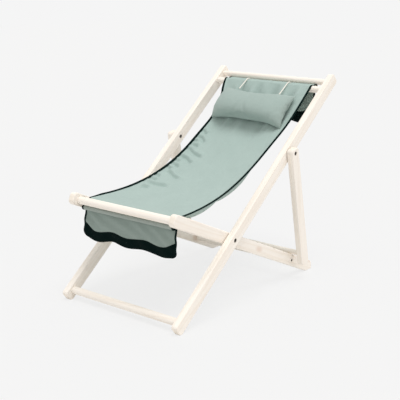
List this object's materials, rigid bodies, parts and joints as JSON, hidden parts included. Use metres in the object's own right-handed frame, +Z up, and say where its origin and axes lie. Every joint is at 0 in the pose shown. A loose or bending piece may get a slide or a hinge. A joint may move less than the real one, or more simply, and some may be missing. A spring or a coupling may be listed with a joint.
{
  "type": "folding sling chair",
  "caption": "Low folding lounge chair: hinged wooden frames carry a canvas sling with wavy valances and a hung head pillow.",
  "frame": {"origin": "on the floor, under the middle of the chair's outer size", "axes": "+Z up, the chair faces -Y, the sitter's left is +X; rest pose is the chair set up with its crossbar at the last notch"},
  "size_m": [0.596, 0.9592, 0.7653],
  "materials": {
    "painted_wood": "thin cream wash over fine-grained wood, matt",
    "steel": "darkened steel, slightly rough",
    "canvas": "plain-woven sage green canvas",
    "dark_trim": "near-black green woven tape",
    "pillow_canvas": "plain-woven sage green canvas",
    "cotton_cord": "twisted cream cotton cord"
  },
  "bodies": {
    "back_frame": {"back_foot_dowel": "painted_wood", "back_rail_left": "painted_wood", "back_rail_right": "painted_wood", "back_sling_dowel": "painted_wood", "back_top_dowel": "painted_wood", "back_valance": "canvas", "back_valance_band": "dark_trim", "pillow": "pillow_canvas", "pillow_cord_left": "cotton_cord", "pillow_cord_right": "cotton_cord", "prop_pivot_bolt_left": "steel", "prop_pivot_bolt_right": "steel", "prop_pivot_nut_left": "steel", "prop_pivot_nut_right": "steel", "prop_pivot_washer_left": "steel", "prop_pivot_washer_right": "steel", "seat_pivot_bolt_left": "steel", "seat_pivot_bolt_right": "steel", "seat_pivot_nut_left": "steel", "seat_pivot_nut_right": "steel", "seat_pivot_washer_left": "steel", "seat_pivot_washer_right": "steel", "sling": "canvas", "sling_piping_left": "dark_trim", "sling_piping_right": "dark_trim", "sling_rod_top": "painted_wood"},
    "seat_frame": {"front_valance": "canvas", "front_valance_band": "dark_trim", "seat_front_dowel": "painted_wood", "seat_rail_left": "painted_wood", "seat_rail_right": "painted_wood", "seat_sling_dowel": "painted_wood", "seat_stretcher": "painted_wood", "sling_rod_front": "painted_wood", "stretcher_screw_left": "steel", "stretcher_screw_right": "steel"},
    "prop_frame": {"prop_crossbar": "painted_wood", "prop_rail_left": "painted_wood", "prop_rail_right": "painted_wood"}
  },
  "joints": [
    {"name": "seat_fold", "type": "hinge", "parent": "back_frame", "child": "seat_frame", "pos_m": [0, -0.16413, 0.25228], "axis": [1, 0, 0], "range_deg": [0, 62.6], "deforming": ["sling", "sling_piping_left", "sling_piping_right"]},
    {"name": "prop_swing", "type": "hinge", "parent": "back_frame", "child": "prop_frame", "pos_m": [0, 0.16099, 0.50858], "axis": [1, 0, 0], "range_deg": [0, 116.88]}
  ],
  "couplings": [
    {"joint": "prop_swing", "follows": "seat_fold", "ratio": 1.8662}
  ]
}
